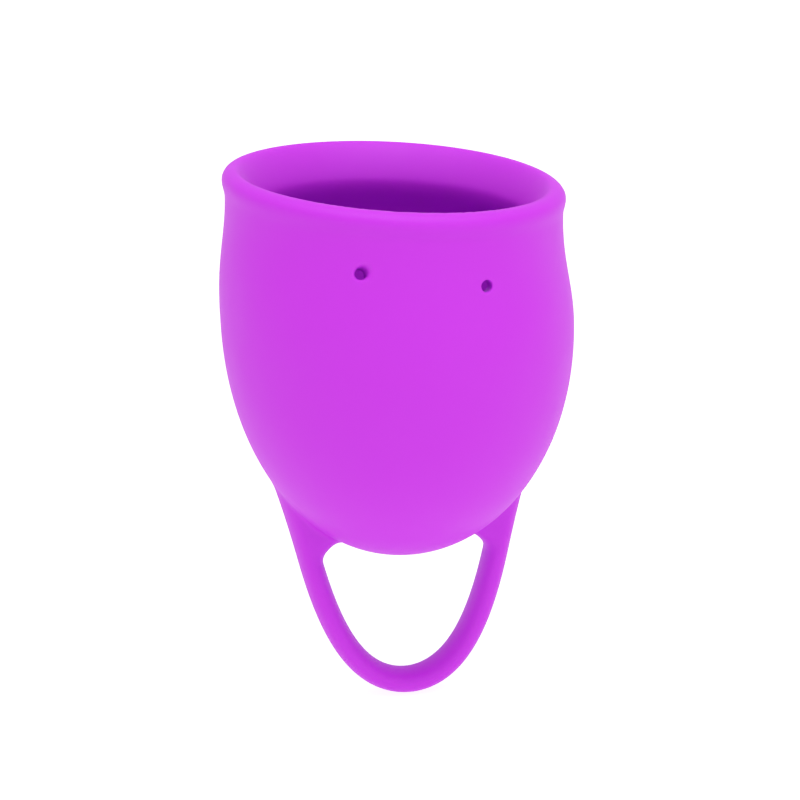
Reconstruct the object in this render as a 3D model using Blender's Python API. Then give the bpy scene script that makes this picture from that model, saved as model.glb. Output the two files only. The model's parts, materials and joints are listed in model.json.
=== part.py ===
"""A soft silicone menstrual cup with a pull loop, standing mouth up on its loop.

The real cup is a single moulding. It is built here from its named zones, which are separate
solids with a thin parting gap between them: the rim, the vented collar, the bowl's wall and
its base, and the loop's roots, flexing necks, strands and bight.

Frame: metres, +Z up along the cup's axis, the loop lies in the XZ plane, and the origin is
on the surface under the loop's lowest point. The loop swings about the line through its two
flexing necks, which runs along X.
"""

import math

import bmesh
import bpy
from mathutils import Vector

# Outside of the cup, which is turned about Z and then slanted.
BASE_HEIGHT = 0.0192
BELLY_HEIGHT = 0.0496
BELLY_RADIUS = 0.0220
BOWL_FULLNESS = 2.05  # the exponent of the lower bowl's curve: 2 would be a plain ellipse
NECK_HEIGHT = 0.0642
NECK_RADIUS = 0.0209
RIM_RADIUS = 0.0212
RIM_HEIGHT = 0.0676

RIM_ROUNDING = 0.0013

# Inside of the cup. The rim swells inwards to its narrowest ring.
RIM_CREST = 0.0192  # where the narrow flat land on top of the rim ends and its inner face begins
RIM_INNER = 0.0168
RIM_FACE_HEIGHT = 0.0044  # from the top of the rim down to the narrowest ring
RIM_TAPER_HEIGHT = 0.0036  # from there down to the plain wall
WALL = 0.0018
BASE_WALL = 0.0024

# The mouth isn't level: it falls by this much for each unit of +X, and the base is level.
RIM_SLANT = 0.084

# Air vents, drilled towards the axis through the front of the collar. Each has the angle that
# it is turned round the axis from -Y, towards +X, and its height.
VENT_RADIUS = 0.0008
VENTS = {"left": (math.radians(-21.6), 0.0606), "right": (math.radians(21.4), 0.0581)}

# The loop's centreline hangs like a chain: z = drop * (cosh(x / spread) - 1).
LOOP_THICKNESS = 0.0030
LOOP_DEPTH = 0.0055
LOOP_SPREAD = 0.00460
LOOP_DROP = 0.00294
WEB_CURVE = 0.00144  # how tightly a root's inner edge curves in to meet the bowl
WEB_REACH = 0.0042  # as far in as it goes

# Where the zones part, as heights on the cup's axis.
PARTING_GAP = 0.0003
COLLAR_TOP = 0.0625
COLLAR_BOTTOM = 0.0548
BASE_TOP = 0.0330
ROOT_TOP = 0.0290  # hidden inside the bowl, where the root is cut to fit
ROOT_BOTTOM = 0.0168
NECK_BOTTOM = 0.0096
STRAND_BOTTOM = 0.0046
HINGE_HEIGHT = (ROOT_BOTTOM + NECK_BOTTOM) / 2
WEB_START = 0.0182

# Facets.
TURN_STEPS = 60
SECTION_SIDES = 16
VENT_SIDES = 16
ARC_STEPS = 4
RIM_FACE_STEPS = 6

SILICONE_COLOUR = (0.644, 0.061, 0.856, 1.0)
SILICONE_ROUGHNESS = 0.55

SIDES = {"left": -1, "right": 1}


def clear_scene():
    for obj in list(bpy.data.objects):
        bpy.data.objects.remove(obj, do_unlink=True)


def ease(share):
    """0 to 1 with level ends, held outside them."""
    held = min(max(share, 0.0), 1.0)
    return (1 - math.cos(math.pi * held)) / 2


def between(first, last, steps):
    """Evenly spaced values from first to last, both included."""
    return [first + (last - first) * step / steps for step in range(steps + 1)]


def bowl_radius(height, radius, bottom):
    """Radius of the rounded lower bowl, which closes at the bottom."""
    share = min(max((BELLY_HEIGHT - height) / (BELLY_HEIGHT - bottom), 0.0), 1.0)
    return radius * (1 - share**BOWL_FULLNESS) ** (1 / BOWL_FULLNESS)


def outer_radius(height):
    if height <= BELLY_HEIGHT:
        return bowl_radius(height, BELLY_RADIUS, BASE_HEIGHT)
    if height <= NECK_HEIGHT:
        share = (height - BELLY_HEIGHT) / (NECK_HEIGHT - BELLY_HEIGHT)
        return BELLY_RADIUS + (NECK_RADIUS - BELLY_RADIUS) * ease(share)
    share = (height - NECK_HEIGHT) / (RIM_HEIGHT - RIM_ROUNDING - NECK_HEIGHT)
    return NECK_RADIUS + (RIM_RADIUS - NECK_RADIUS) * ease(share)


def inner_radius(height):
    """Inside of the wall, up to the rim's narrowest ring."""
    if height <= BELLY_HEIGHT:
        return bowl_radius(height, BELLY_RADIUS - WALL, BASE_HEIGHT + BASE_WALL)
    taper_bottom = RIM_HEIGHT - RIM_FACE_HEIGHT - RIM_TAPER_HEIGHT
    thick = ease((height - taper_bottom) / RIM_TAPER_HEIGHT)
    plain = outer_radius(height) - WALL
    return plain + (RIM_INNER - plain) * thick


def slanted(point):
    """The point once the mouth is slanted: level at the base, full slant at the rim."""
    share = (point.z - BASE_HEIGHT) / (RIM_HEIGHT - BASE_HEIGHT)
    return point - Vector((0, 0, RIM_SLANT * min(max(share, 0.0), 1.0) * point.x))


def silicone(name):
    material = bpy.data.materials.new(name)
    material.use_nodes = True
    shader = material.node_tree.nodes["Principled BSDF"]
    shader.inputs["Base Color"].default_value = SILICONE_COLOUR
    shader.inputs["Roughness"].default_value = SILICONE_ROUGHNESS
    shader.inputs["Metallic"].default_value = 0.0
    material.diffuse_color = SILICONE_COLOUR
    return material


def add_object(name, bm):
    """Closes the bmesh into a smooth-shaded object of the given name."""
    bmesh.ops.recalc_face_normals(bm, faces=bm.faces)
    mesh = bpy.data.meshes.new(name)
    bm.to_mesh(mesh)
    bm.free()
    mesh.shade_smooth()
    mesh.set_sharp_from_angle(angle=math.radians(40))
    obj = bpy.data.objects.new(name, mesh)
    bpy.context.scene.collection.objects.link(obj)
    return obj


def add_node(name, bm):
    obj = add_object(name, bm)
    obj.data.materials.append(silicone(name + "_silicone"))
    return obj


def add_cutter(name, bm):
    cutter = add_object(name, bm)
    cutter.hide_render = True
    cutter.display_type = "WIRE"
    return cutter


def cut(obj, cutter):
    boolean = obj.modifiers.new("cut_" + cutter.name, "BOOLEAN")
    boolean.operation = "DIFFERENCE"
    boolean.solver = "EXACT"
    boolean.object = cutter


def turned(profile, closed):
    """A bmesh turned from (radius, height) points: a closed ring, or a dome with its ends on the axis."""
    bm = bmesh.new()
    verts = [bm.verts.new((radius, 0, height)) for radius, height in profile]
    ends = verts[1:] + (verts[:1] if closed else [])
    edges = [bm.edges.new(pair) for pair in zip(verts, ends)]
    bmesh.ops.spin(
        bm,
        geom=verts + edges,
        cent=(0, 0, 0),
        axis=(0, 0, 1),
        angle=math.tau,
        steps=TURN_STEPS,
        use_merge=True,
    )
    bmesh.ops.remove_doubles(bm, verts=bm.verts, dist=1e-6)
    for vert in bm.verts:
        vert.co = slanted(vert.co)
    return bm


def ring_profile(top, bottom, steps):
    """The wall between two heights: down its outside, then up its inside."""
    outside = [(outer_radius(height), height) for height in between(top, bottom, steps)]
    inside = [(inner_radius(height), height) for height in between(bottom, top, steps)]
    return outside + inside


def rim_profile():
    """The rim: rounded outside, flat on its narrow crest, and curving in to its narrowest ring."""
    shoulder = RIM_HEIGHT - RIM_ROUNDING
    narrowest = RIM_HEIGHT - RIM_FACE_HEIGHT
    bottom = COLLAR_TOP + PARTING_GAP
    outer_arc = [
        (
            RIM_RADIUS - RIM_ROUNDING * (1 - math.cos(angle)),
            shoulder + RIM_ROUNDING * math.sin(angle),
        )
        for angle in between(math.pi / 2, 0, ARC_STEPS)
    ]
    inner_arc = [
        (
            RIM_CREST - (RIM_CREST - RIM_INNER) * math.cos(angle),
            narrowest + RIM_FACE_HEIGHT * math.sin(angle),
        )
        for angle in between(0, math.pi / 2, RIM_FACE_STEPS)
    ]
    outside = [(outer_radius(height), height) for height in between(shoulder, bottom, 5)[1:]]
    inside = [(inner_radius(height), height) for height in between(bottom, narrowest, 2)[:-1]]
    return outer_arc + outside + inside + inner_arc


def dome_profile(radius, bottom, top, steps):
    """Half of a bowl's curve, from its edge at the top height to the axis, with even turns."""
    depth = BELLY_HEIGHT - bottom
    power = 2 / BOWL_FULLNESS
    first = math.asin(((BELLY_HEIGHT - top) / depth) ** (1 / power))
    points = []
    for angle in between(first, math.pi / 2, steps):
        height = BELLY_HEIGHT - depth * math.sin(angle) ** power
        points.append((radius * max(math.cos(angle), 0.0) ** power, height))
    points[-1] = (0.0, bottom)
    return points


def base_profile():
    outside = dome_profile(BELLY_RADIUS, BASE_HEIGHT, BASE_TOP, 10)
    inside = dome_profile(BELLY_RADIUS - WALL, BASE_HEIGHT + BASE_WALL, BASE_TOP, 8)
    return list(reversed(outside)) + inside


def add_cup():
    add_node("rim_bead", turned(rim_profile(), closed=True))
    collar_wall = ring_profile(COLLAR_TOP, COLLAR_BOTTOM, 5)
    bowl_wall = ring_profile(COLLAR_BOTTOM - PARTING_GAP, BASE_TOP + PARTING_GAP, 5)
    collar = add_node("vent_collar", turned(collar_wall, closed=True))
    add_node("bowl_wall", turned(bowl_wall, closed=True))
    add_node("bowl_base", turned(base_profile(), closed=False))
    for side, (angle, height) in VENTS.items():
        cut(collar, add_vent_drill(side, angle, height))


def add_vent_drill(side, angle, height):
    """A level drill through the wall, centred on it and three times as long as its thickness."""
    bm = bmesh.new()
    bmesh.ops.create_cone(
        bm,
        cap_ends=True,
        segments=VENT_SIDES,
        radius1=VENT_RADIUS,
        radius2=VENT_RADIUS,
        depth=3 * WALL,
    )
    drill = add_cutter("vent_drill_" + side, bm)
    middle = outer_radius(height) - WALL / 2
    drill.location = (middle * math.sin(angle), -middle * math.cos(angle), height)
    drill.rotation_euler = (math.pi / 2, 0, angle)
    return drill


def loop_x(height):
    """How far from the middle the loop's centreline is at a height."""
    return LOOP_SPREAD * math.acosh(1 + (height - LOOP_THICKNESS / 2) / LOOP_DROP)


def loop_point(x):
    return Vector((x, 0, LOOP_THICKNESS / 2 + LOOP_DROP * (math.cosh(x / LOOP_SPREAD) - 1)))


def loop_outward(x):
    """Unit vector in the loop's plane, square to the centreline, pointing out of the loop."""
    slope = LOOP_DROP / LOOP_SPREAD * math.sinh(x / LOOP_SPREAD)
    return Vector((slope, 0, -1)).normalized()


def swept(first_x, last_x, steps, web=False):
    """The loop's oval section carried along its centreline, with flat ends."""
    bm = bmesh.new()
    rings = []
    for x in between(first_x, last_x, steps):
        centre = loop_point(x)
        outward = loop_outward(x)
        into_web = max(centre.z - WEB_START, 0.0) if web else 0.0
        inner_side = LOOP_THICKNESS / 2 + min(into_web**2 / (2 * WEB_CURVE), WEB_REACH)
        ring = []
        for side in range(SECTION_SIDES):
            angle = math.tau * side / SECTION_SIDES
            reach = LOOP_THICKNESS / 2 if math.cos(angle) > 0 else inner_side
            across = math.cos(angle) * reach
            along_y = math.sin(angle) * LOOP_DEPTH / 2
            ring.append(bm.verts.new(centre + outward * across + Vector((0, along_y, 0))))
        rings.append(ring)
    for ring, following in zip(rings, rings[1:]):
        for side in range(SECTION_SIDES):
            after = (side + 1) % SECTION_SIDES
            bm.faces.new((ring[side], ring[after], following[after], following[side]))
    bm.faces.new(rings[0])
    bm.faces.new(rings[-1])
    return bm


def add_loop():
    """The roots and necks stay with the cup, and the strands and bight hang from the hinge."""
    hinge = bpy.data.objects.new("loop_hinge", None)
    hinge.location = (0, 0, HINGE_HEIGHT)
    bpy.context.scene.collection.objects.link(hinge)
    bowl_room = add_cutter("bowl_room", bowl_with_room())
    half_gap = PARTING_GAP / 2
    moving = []
    for side, sign in SIDES.items():
        root_ends = (sign * loop_x(ROOT_BOTTOM + half_gap), sign * loop_x(ROOT_TOP))
        neck_ends = (sign * loop_x(NECK_BOTTOM + half_gap), sign * loop_x(ROOT_BOTTOM - half_gap))
        strand_ends = (sign * loop_x(STRAND_BOTTOM + half_gap), sign * loop_x(NECK_BOTTOM - half_gap))
        root = add_node("loop_root_" + side, swept(*root_ends, steps=10, web=True))
        cut(root, bowl_room)
        add_node("loop_neck_" + side, swept(*neck_ends, steps=6))
        moving.append(add_node("loop_strand_" + side, swept(*strand_ends, steps=6)))
    bight_end = loop_x(STRAND_BOTTOM - half_gap)
    moving.append(add_node("loop_bight", swept(-bight_end, bight_end, steps=20)))
    bpy.context.view_layer.update()
    for piece in moving:
        piece.parent = hinge
        piece.matrix_parent_inverse = hinge.matrix_world.inverted()


def bowl_with_room():
    """The bowl's outside, larger all round by the parting gap, as a solid dome to cut the roots with."""
    grown = dome_profile(BELLY_RADIUS + PARTING_GAP, BASE_HEIGHT - PARTING_GAP, BELLY_HEIGHT - WALL, 18)
    return turned(list(reversed(grown)) + [(0.0, BELLY_HEIGHT - WALL)], closed=False)


clear_scene()
add_cup()
add_loop()
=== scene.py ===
"""The looks of the silicone cup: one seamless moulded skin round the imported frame.

The skin is where a distance field is zero. The field is worked out from the cup's turned outline,
slanted at its mouth, and from the chain curve that the loop hangs on. Lengths are in metres.
"""

import json
import math

import bmesh
import bpy
import numpy as np
import openvdb
from mathutils import Matrix, Vector


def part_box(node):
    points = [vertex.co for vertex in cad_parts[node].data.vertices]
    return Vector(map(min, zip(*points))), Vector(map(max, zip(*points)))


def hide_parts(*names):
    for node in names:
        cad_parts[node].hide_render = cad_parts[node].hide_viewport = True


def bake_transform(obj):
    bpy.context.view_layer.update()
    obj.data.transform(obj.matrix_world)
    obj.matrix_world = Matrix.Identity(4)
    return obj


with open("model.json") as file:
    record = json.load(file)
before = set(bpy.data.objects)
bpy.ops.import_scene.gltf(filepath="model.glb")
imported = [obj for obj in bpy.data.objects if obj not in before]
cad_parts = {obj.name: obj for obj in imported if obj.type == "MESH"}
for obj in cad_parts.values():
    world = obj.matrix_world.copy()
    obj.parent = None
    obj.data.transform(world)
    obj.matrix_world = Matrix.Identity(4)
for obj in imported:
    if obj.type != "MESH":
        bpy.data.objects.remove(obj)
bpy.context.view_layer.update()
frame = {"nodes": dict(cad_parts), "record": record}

# The mouth's flat land gives the rim's height on the axis, and how far it falls for each unit of +X.
rim_mount = frame["record"]["mounts"][0]
RIM_HEIGHT = rim_mount["pos_m"][2]
RIM_SLANT = rim_mount["axis"][0] / rim_mount["axis"][2]
RIM_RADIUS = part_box("rim_bead")[1].x
BASE_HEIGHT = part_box("bowl_base")[0].z

# The rest of the cup's outline. The CAD has the same belly, neck and wall, and a plainer rim.
# A fullness is the exponent of an oval's curve: 2 is a plain ellipse, and less is flatter.
BELLY_HEIGHT = 0.0496
BELLY_RADIUS = 0.0220
BOWL_FULLNESS = 2.05
NECK_HEIGHT = 0.0642
NECK_RADIUS = 0.0209
RIM_CREST = 0.0195
RIM_ROUNDING = 0.0015
RIM_EDGE_FULLNESS = 2
RIM_INNER = 0.0168
RIM_FACE_HEIGHT = 0.0044
RIM_FACE_FULLNESS = 1.35
RIM_TAPER_HEIGHT = 0.0056
WALL = 0.0018
BASE_WALL = 0.0024

# Air vents: the angle of each one's mouth round the axis from -Y towards +X, and its height,
# then how far the pin that moulded it leaned aside and up, and how wide its lip is rounded.
VENT_RADIUS = 0.00073
VENT_DEPTH = 0.0060
VENTS = (
    (math.radians(-21.0), 0.0608, math.radians(30), math.radians(24), 0.0006),
    (math.radians(20.75), 0.0581, math.radians(-12), math.radians(8), 0.0003),
)

# The loop, whose centreline hangs like a chain.
LOOP_THICKNESS = 0.0030
LOOP_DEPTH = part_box("loop_bight")[1].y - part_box("loop_bight")[0].y
LOOP_SPREAD = 0.00460
LOOP_DROP = 0.00294
LOOP_TOP = 0.0300
WEB_START = 0.0182
WEB_CURVE = 0.00144
WEB_REACH = 0.0042
FLARE_CURVE = 0.070
OUTER_FILLET = 0.0003
INNER_FILLET = 0.0012

# How far the soft moulding has settled out of true: the mouth's slant grows towards the front,
# the neck leans to -X, and the loop hangs a little to +X.
RIM_TWIST = 0.008
NECK_LEAN = 0.00022
LEAN_HEIGHT = 0.0575
LEAN_REACH = 0.0085
LOOP_LEAN = 0.00018

# The distance field.
OUTLINE_STEPS = 80
ARC_STEPS = 24
MAP_CELL = 0.0001
MAP_MARGIN = 0.004
MAP_EDGE = 1e-6  # how far inside the map's last line a point is held, in cells
GRADIENT_STEP = 0.00002
LEAST_SLOPE_SQUARE = 0.1  # keeps a point from leaping where the field is nearly level
FAR = 1.0  # a distance past everything
TINY = 1e-9  # keeps a division from being by 0

# The skin's mesh.
VOXEL = 0.0004
MARGIN_VOXELS = 3
SETTLE_ROUNDS = 2
RELAX_ROUNDS = 8
RELAX_SHARE = 0.5
VENT_PATCH = 0.0028
VENT_CUTS = 3

# The silicone. It scatters light this far under its surface, less in green than in red and blue.
DYE = (0.55, 0.022, 0.72, 1)
REFRACTION = 1.42
SCATTER_SHARE = 0.25
SCATTER_DEPTH = 0.001
SCATTER_SPREAD = (1.0, 0.25, 1.2)
ROUGHNESS_LOW = 0.48
ROUGHNESS_HIGH = 0.60
CLOUDS_PER_METRE = 180
CLOUD_DETAIL = 3
GRAINS_PER_METRE = 6000
GRAIN_DETAIL = 2
GRAIN_STRENGTH = 0.25
GRAIN_HEIGHT = 0.00002

# Studio: each soft box's side and height in degrees, and how many times as bright as white it is.
WHITE = (1, 1, 1, 1)
ROOM_LIGHT = 0.755
SOFT_BOX_SIZE = 0.8
SOFT_BOX_DISTANCE = 1.0
SOFT_BOXES = (
    ("key_box", 35, 70, 1.80),
    ("fill_box", -55, 70, 1.15),
    ("side_box", 35, 8, 0.38),
)
FLOOR_REACH = 3.0
FLOOR_GLOW = 0.88
FLOOR_TONE = (0.30, 0.30, 0.30, 1)
FLOOR_ROUGHNESS = 0.9

# Camera.
CAMERA_AIM = Vector((0.0001, 0.0, 0.03872))
CAMERA_AZIMUTH = math.radians(-10.04)
CAMERA_ELEVATION = math.radians(16.665)
CAMERA_ROLL = math.radians(-1.4)
CAMERA_DISTANCE = 0.506
CAMERA_LENS = 181.8
CAMERA_SENSOR = 36


def ease(share):
    """0 to 1 with level ends, held outside them."""
    return (1 - np.cos(np.pi * np.clip(share, 0, 1))) / 2


def outer_radius(height):
    """Outside of the wall from the belly up to the rim's shoulder."""
    to_neck = ease((height - BELLY_HEIGHT) / (NECK_HEIGHT - BELLY_HEIGHT))
    to_rim = ease((height - NECK_HEIGHT) / (RIM_HEIGHT - RIM_ROUNDING - NECK_HEIGHT))
    return BELLY_RADIUS + (NECK_RADIUS - BELLY_RADIUS) * to_neck + (RIM_RADIUS - NECK_RADIUS) * to_rim


def inner_radius(height):
    """Inside of the wall up to the rim's narrowest ring, to which it swells."""
    taper_bottom = RIM_HEIGHT - RIM_FACE_HEIGHT - RIM_TAPER_HEIGHT
    thick = ease((height - taper_bottom) / RIM_TAPER_HEIGHT)
    plain = outer_radius(height) - WALL
    return plain + (RIM_INNER - plain) * thick


def bowl_outline(radius, bottom):
    """The bowl from the belly down to the axis, a quarter of a full oval, as (radius, height) points."""
    angle = np.linspace(0, math.pi / 2, OUTLINE_STEPS)
    power = 2 / BOWL_FULLNESS
    return np.column_stack(
        (radius * np.cos(angle) ** power, BELLY_HEIGHT - (BELLY_HEIGHT - bottom) * np.sin(angle) ** power)
    )


def wall_outline(radius_at, radius, bottom, rim_edge, drop, fullness):
    """One side of the wall, from the rim's crest down to the axis, as (radius, height) points."""
    angle = np.linspace(0, math.pi / 2, ARC_STEPS)
    across = np.sin(angle) ** (2 / fullness)
    down = 1 - np.cos(angle) ** (2 / fullness)
    corner = np.column_stack((RIM_CREST + (rim_edge - RIM_CREST) * across, RIM_HEIGHT - drop * down))
    heights = np.linspace(RIM_HEIGHT - drop, BELLY_HEIGHT, OUTLINE_STEPS)[1:-1]
    side = np.column_stack((radius_at(heights), heights))
    return np.concatenate((corner, side, bowl_outline(radius, bottom)))


def loop_centreline():
    """Half of the loop's centreline, from the lowest point up, as (reach from the axis, height) points."""
    middle = LOOP_THICKNESS / 2
    reach = LOOP_SPREAD * math.acosh((LOOP_TOP - middle) / LOOP_DROP + 1)
    across = np.linspace(0, reach, OUTLINE_STEPS)
    return np.column_stack((across, middle + LOOP_DROP * (np.cosh(across / LOOP_SPREAD) - 1)))


def direction(azimuth, elevation):
    """The unit vector from the object towards that side: azimuth 0 is -Y, and 90 degrees is +X."""
    return Vector(
        (
            math.sin(azimuth) * math.cos(elevation),
            -math.cos(azimuth) * math.cos(elevation),
            math.sin(elevation),
        )
    )


def vent_mouth(angle, height):
    """Where a vent opens on the outside of the wall."""
    return Vector((0, 0, height)) + float(outer_radius(height)) * direction(angle, 0)


class DistanceMap:
    """Distance to a line in the half plane (first >= 0), positive on its left, read from a fine grid."""

    def __init__(self, line, low, high):
        self.low = np.array(low)
        self.size = np.ceil((np.array(high) - self.low) / MAP_CELL).astype(int)
        axes = [low[axis] + MAP_CELL * np.arange(self.size[axis] + 1) for axis in (0, 1)]
        points = np.stack(np.meshgrid(*axes, indexing="ij"), axis=-1).reshape(-1, 2)
        best = np.full(len(points), np.inf)
        for start, end in zip(line, line[1:]):
            run = end - start
            offset = points - start
            share = np.clip(offset @ run / (run @ run), 0, 1)
            gap = offset - share[:, None] * run
            left = np.where(run[0] * offset[:, 1] >= run[1] * offset[:, 0], 1, -1)
            distance = np.hypot(gap[:, 0], gap[:, 1])
            best = np.where(distance < np.abs(best), distance * left, best)
        self.values = best.reshape(self.size + 1)

    def __call__(self, first, second):
        at = (np.stack((first, second), axis=-1) - self.low) / MAP_CELL
        at = np.clip(at, 0, self.size - MAP_EDGE)
        cell = at.astype(int)
        across, up = (at - cell).T
        i, j = cell.T
        near = self.values[i, j] * (1 - up) + self.values[i, j + 1] * up
        far = self.values[i + 1, j] * (1 - up) + self.values[i + 1, j + 1] * up
        return near * (1 - across) + far * across


def smooth_min(first, second, width):
    """The smaller of two distances, rounded over where they are within width of each other."""
    share = np.clip(0.5 + 0.5 * (second - first) / width, 0, 1)
    return second + (first - second) * share - width * share * (1 - share)


def level_height(x, y, z):
    """The height that a point had before the wall was slanted."""
    fall = (RIM_SLANT - RIM_TWIST * y / RIM_RADIUS) * x
    span = RIM_HEIGHT - BASE_HEIGHT
    within = BASE_HEIGHT + (z - BASE_HEIGHT) / (1 - fall / span)
    return np.where(z < BASE_HEIGHT, z, np.where(within < RIM_HEIGHT, within, z + fall))


def upright(x, z):
    """How far +X a point lay before the neck leaned."""
    return x + NECK_LEAN * ease(1 - np.abs(z - LEAN_HEIGHT) / LEAN_REACH)


def loop_section(inward, y, z):
    """Distance to the loop, and how wide a fillet it has to the cup, from how far a point lies inside
    the centreline. The oval section flares as it rises into the cup, and its inner side webs out."""
    rise = np.clip(z, WEB_START, LOOP_TOP) - WEB_START
    web = np.minimum(rise**2 / (2 * WEB_CURVE), WEB_REACH)
    flare = rise**2 / (2 * FLARE_CURVE)
    half_width = LOOP_THICKNESS / 2 + np.where(inward > 0, web, flare)
    half_depth = LOOP_DEPTH / 2 + flare
    ring = np.hypot(inward / half_width, y / half_depth)
    steepness = np.hypot(inward / half_width**2, y / half_depth**2) + TINY
    fillet = OUTER_FILLET + (INNER_FILLET - OUTER_FILLET) * ease((inward / half_width + 1) / 2)
    return ring * (ring - 1) / steepness, fillet


def cut_vents(solid, points):
    """The solid's distances once the two leaning vents are out of it."""
    for angle, height, aside, up, lip in VENTS:
        pin = np.array(direction(angle + aside, up))
        offset = points - vent_mouth(angle, height)
        along = offset @ pin
        across = np.linalg.norm(offset - along[:, None] * pin, axis=1)
        drill = np.where(along > -VENT_DEPTH, across - VENT_RADIUS, FAR)
        solid = -smooth_min(-solid, drill, lip)
    return solid


def make_field():
    """The function that gives each point's distance to the skin, negative in the silicone."""
    map_low = (0, 0)
    map_high = (RIM_RADIUS + MAP_MARGIN, RIM_HEIGHT + MAP_MARGIN)
    outside = wall_outline(
        outer_radius,
        BELLY_RADIUS,
        BASE_HEIGHT,
        RIM_RADIUS,
        RIM_ROUNDING,
        RIM_EDGE_FULLNESS,
    )
    outside = np.concatenate(([(0, RIM_HEIGHT)], outside))
    inside = wall_outline(
        inner_radius,
        BELLY_RADIUS - WALL,
        BASE_HEIGHT + BASE_WALL,
        RIM_INNER,
        RIM_FACE_HEIGHT,
        RIM_FACE_FULLNESS,
    )
    inside = np.concatenate(([(map_high[0], RIM_HEIGHT)], inside))
    cup_map = DistanceMap(outside, map_low, map_high)
    cavity_map = DistanceMap(inside, map_low, map_high)
    loop_map = DistanceMap(loop_centreline(), map_low, map_high)

    def field(points):
        """One distance for each row of points."""
        x, y, z = points.T
        radius = np.hypot(upright(x, z), y)
        height = level_height(x, y, z)
        inward = loop_map(np.abs(x - LOOP_LEAN * (1 - z / LOOP_TOP)), z)
        loop, fillet = loop_section(inward, y, z)
        solid = smooth_min(cup_map(radius, height), loop, fillet)
        solid = np.maximum(solid, -cavity_map(radius, height))
        return cut_vents(solid, points)

    return field


def slope_of(field, points):
    """The field's value and gradient at each point."""
    value = field(points)
    steps = GRADIENT_STEP * np.eye(3)
    slope = np.stack([field(points + step) - field(points - step) for step in steps], axis=-1)
    return value, slope / (2 * GRADIENT_STEP)


def settle(field, points):
    """Moves points straight onto the skin, and gives its normals there."""
    for _ in range(SETTLE_ROUNDS):
        value, slope = slope_of(field, points)
        square = np.maximum((slope**2).sum(axis=1), LEAST_SLOPE_SQUARE)
        points = points - slope * (value / square)[:, None]
    return points, slope / np.linalg.norm(slope, axis=1)[:, None]


def relax(field, mesh):
    """Evens out the mesh's vertices along the skin."""
    points = np.empty(len(mesh.vertices) * 3)
    mesh.vertices.foreach_get("co", points)
    points = points.reshape(-1, 3)
    edges = np.empty(len(mesh.edges) * 2, int)
    mesh.edges.foreach_get("vertices", edges)
    ends = edges.reshape(-1, 2)
    ends = np.concatenate((ends, ends[:, ::-1]))
    count = np.bincount(ends[:, 0], minlength=len(points))
    points, normals = settle(field, points)
    for _ in range(RELAX_ROUNDS):
        neighbours = points[ends[:, 1]]
        totals = [np.bincount(ends[:, 0], neighbours[:, axis], len(points)) for axis in range(3)]
        middle = np.stack(totals, axis=-1) / count[:, None]
        shift = RELAX_SHARE * (middle - points)
        shift -= normals * (shift * normals).sum(axis=1)[:, None]
        points, normals = settle(field, points + shift)
    mesh.vertices.foreach_set("co", points.ravel())


def refine_vents(mesh):
    """Splits the faces round each vent, which is small against the voxels."""
    shape = bmesh.new()
    shape.from_mesh(mesh)
    near = set()
    for angle, height, *_ in VENTS:
        mouth = vent_mouth(angle, height)
        near.update(vertex for vertex in shape.verts if (vertex.co - mouth).length < VENT_PATCH)
    edges = [edge for edge in shape.edges if near.issuperset(edge.verts)]
    bmesh.ops.subdivide_edges(shape, edges=edges, cuts=VENT_CUTS, use_grid_fill=True)
    shape.to_mesh(mesh)
    shape.free()


def make_skin():
    """The whole moulding as one closed mesh."""
    field = make_field()
    margin = MARGIN_VOXELS * VOXEL
    boxes = np.array([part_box(node) for node in frame["nodes"]])
    low = boxes[:, 0].min(axis=0) - margin
    counts = np.ceil((boxes[:, 1].max(axis=0) + margin - low) / VOXEL).astype(int)
    axes = [low[axis] + VOXEL * np.arange(counts[axis]) for axis in range(3)]
    points = np.stack(np.meshgrid(*axes, indexing="ij"), axis=-1).reshape(-1, 3)
    grid = openvdb.FloatGrid(background=margin)
    distances = np.clip(field(points), -margin, margin).astype(np.float32)
    grid.copyFromArray(distances.reshape(counts))
    corners, quads = grid.convertToQuads(isovalue=0.0)
    mesh = bpy.data.meshes.new("silicone_skin")
    mesh.from_pydata((low + VOXEL * corners).tolist(), [], quads.tolist())
    refine_vents(mesh)
    relax(field, mesh)
    mesh.shade_smooth()
    skin = bpy.data.objects.new("silicone_skin", mesh)
    bpy.context.scene.collection.objects.link(skin)
    return skin


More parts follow.
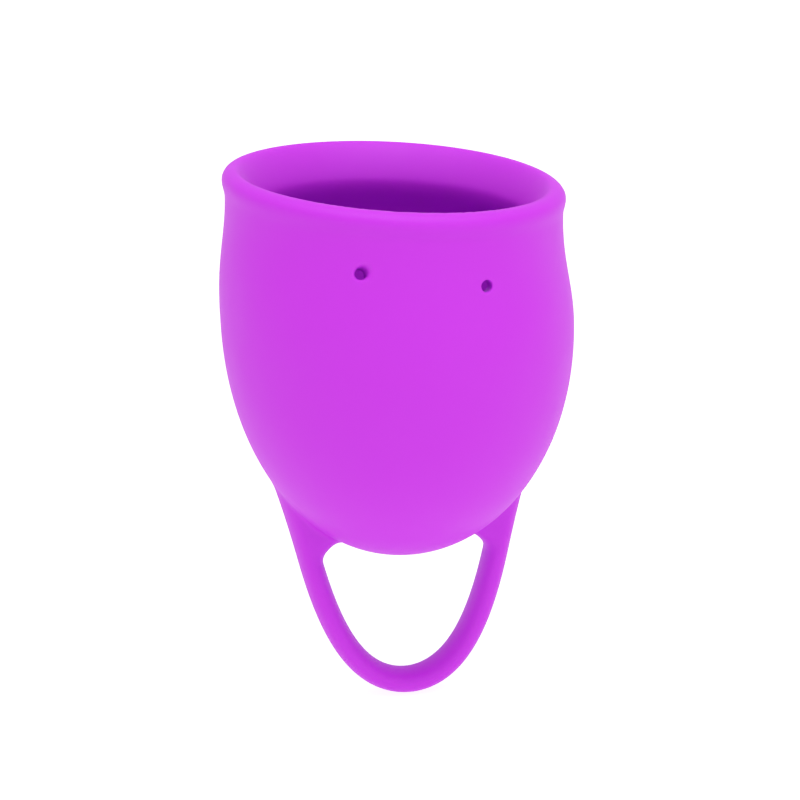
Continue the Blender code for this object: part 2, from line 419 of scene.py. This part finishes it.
def silicone():
    """Soft matte silicone: dyed through, a little translucent, with the bloom of a blasted mould."""
    material = bpy.data.materials.new("silicone")
    material.use_nodes = True
    nodes = material.node_tree.nodes
    links = material.node_tree.links
    shader = nodes["Principled BSDF"]
    shader.inputs["Base Color"].default_value = DYE
    shader.inputs["IOR"].default_value = REFRACTION
    shader.inputs["Subsurface Weight"].default_value = SCATTER_SHARE
    shader.inputs["Subsurface Radius"].default_value = SCATTER_SPREAD
    shader.inputs["Subsurface Scale"].default_value = SCATTER_DEPTH

    place = nodes.new("ShaderNodeTexCoord")

    cloud = nodes.new("ShaderNodeTexNoise")
    cloud.inputs["Scale"].default_value = CLOUDS_PER_METRE
    cloud.inputs["Detail"].default_value = CLOUD_DETAIL
    links.new(place.outputs["Object"], cloud.inputs["Vector"])
    roughness = nodes.new("ShaderNodeMapRange")
    roughness.inputs["To Min"].default_value = ROUGHNESS_LOW
    roughness.inputs["To Max"].default_value = ROUGHNESS_HIGH
    links.new(cloud.outputs["Fac"], roughness.inputs["Value"])
    links.new(roughness.outputs["Result"], shader.inputs["Roughness"])

    grain = nodes.new("ShaderNodeTexNoise")
    grain.inputs["Scale"].default_value = GRAINS_PER_METRE
    grain.inputs["Detail"].default_value = GRAIN_DETAIL
    links.new(place.outputs["Object"], grain.inputs["Vector"])
    bump = nodes.new("ShaderNodeBump")
    bump.inputs["Strength"].default_value = GRAIN_STRENGTH
    bump.inputs["Distance"].default_value = GRAIN_HEIGHT
    links.new(grain.outputs["Fac"], bump.inputs["Height"])
    links.new(bump.outputs["Normal"], shader.inputs["Normal"])
    return material


def add_floor():
    """A plain pale floor that glows, as a light table does."""
    corners = [(-1, -1), (1, -1), (1, 1), (-1, 1)]
    mesh = bpy.data.meshes.new("floor")
    mesh.from_pydata([(FLOOR_REACH * x, FLOOR_REACH * y, 0) for x, y in corners], [], [range(4)])
    floor = bpy.data.objects.new("floor", mesh)
    bpy.context.scene.collection.objects.link(floor)
    material = bpy.data.materials.new("floor")
    material.use_nodes = True
    shader = material.node_tree.nodes["Principled BSDF"]
    shader.inputs["Base Color"].default_value = FLOOR_TONE
    shader.inputs["Roughness"].default_value = FLOOR_ROUGHNESS
    shader.inputs["Emission Color"].default_value = WHITE
    shader.inputs["Emission Strength"].default_value = FLOOR_GLOW
    shader.inputs["Specular IOR Level"].default_value = 0.0
    mesh.materials.append(material)


def add_light(name, azimuth, elevation, brightness):
    """A square soft box that looks at the cup from that side and height in degrees."""
    light = bpy.data.lights.new(name, "AREA")
    light.size = SOFT_BOX_SIZE
    light.energy = math.pi * SOFT_BOX_SIZE**2 * brightness
    lamp = bpy.data.objects.new(name, light)
    lamp.visible_camera = False
    back = direction(math.radians(azimuth), math.radians(elevation))
    lamp.location = CAMERA_AIM + SOFT_BOX_DISTANCE * back
    lamp.rotation_euler = back.to_track_quat("Z", "Y").to_euler()
    bpy.context.scene.collection.objects.link(lamp)


def add_studio():
    """A pale room, with soft boxes above and beside the cup."""
    world = bpy.data.worlds.new("studio")
    world.use_nodes = True
    world.node_tree.nodes["Background"].inputs["Color"].default_value = WHITE
    world.node_tree.nodes["Background"].inputs["Strength"].default_value = ROOM_LIGHT
    bpy.context.scene.world = world
    bpy.context.scene.view_settings.view_transform = "Standard"
    for name, azimuth, elevation, brightness in SOFT_BOXES:
        add_light(name, azimuth, elevation, brightness)


def add_camera():
    """The camera, which looks at the cup's middle from the front left and a little above."""
    data = bpy.data.cameras.new("camera")
    data.lens = CAMERA_LENS
    data.sensor_width = CAMERA_SENSOR
    camera = bpy.data.objects.new("camera", data)
    back = direction(CAMERA_AZIMUTH, CAMERA_ELEVATION)
    camera.matrix_world = (
        Matrix.Translation(CAMERA_AIM + CAMERA_DISTANCE * back)
        @ back.to_track_quat("Z", "Y").to_matrix().to_4x4()
        @ Matrix.Rotation(CAMERA_ROLL, 4, "Z")
    )
    bpy.context.scene.collection.objects.link(camera)
    bpy.context.scene.camera = camera


add_camera()
add_studio()
add_floor()

skin = make_skin()
skin.data.materials.append(silicone())
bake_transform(skin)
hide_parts(*frame["nodes"])
